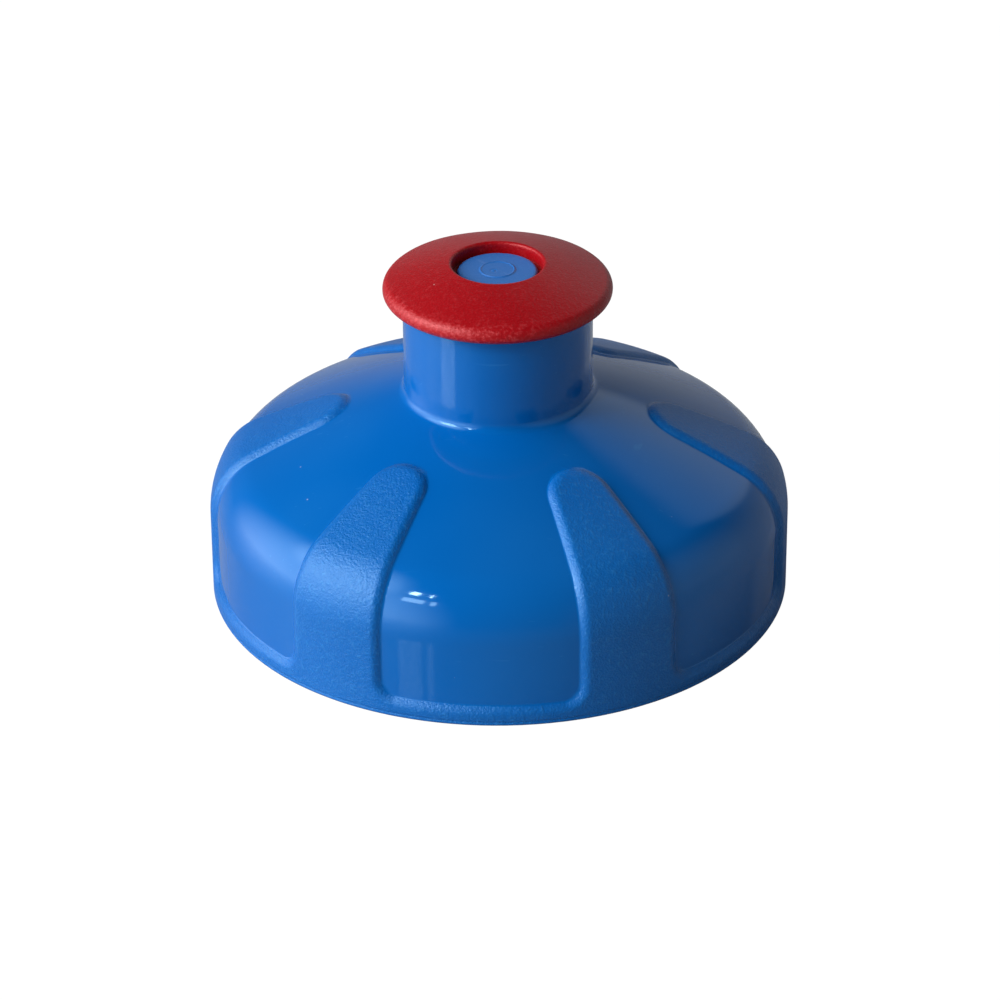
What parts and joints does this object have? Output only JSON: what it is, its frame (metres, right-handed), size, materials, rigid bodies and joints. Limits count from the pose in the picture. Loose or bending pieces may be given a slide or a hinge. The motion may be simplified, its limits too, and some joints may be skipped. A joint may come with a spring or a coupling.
{
  "type": "push-pull bottle cap",
  "caption": "Domed screw cap for a wide-mouth drinking bottle, with grip ribs and a mushroom-shaped mouthpiece that pulls up to open and pushes down to close.",
  "frame": {"origin": "on the cap's own axis, at the flat rim it stands on", "axes": "+Z along the cap's axis, out of the mouthpiece; -Y through the middle of one smooth panel; the mouthpiece is pushed down (closed)"},
  "size_m": [0.07, 0.07, 0.0426],
  "materials": {
    "cap_blue": "glossy blue panels with finely textured matte ribs",
    "post_blue": "satin blue",
    "head_red": "soft matte red",
    "stem_red": "satin red",
    "gasket_white": "soft translucent white",
    "seal_black": "smooth black rubber"
  },
  "bodies": {
    "cap": {"cap_shell": "cap_blue", "rim_gasket": "gasket_white", "post_insert": "post_blue"},
    "seal": {"stem_seal": "seal_black"},
    "mouthpiece": {"mouthpiece_stem": "stem_red", "mouthpiece_head": "head_red"}
  },
  "joints": [
    {"name": "mouthpiece_pull", "type": "slide", "parent": "cap", "child": "seal", "axis": [0, 0, 1], "range_m": [0, 0.006]},
    {"name": "mouthpiece_spin", "type": "hinge", "parent": "seal", "child": "mouthpiece", "pos_m": [0, 0, 0.0291], "axis": [0, 0, 1], "continuous": true}
  ]
}
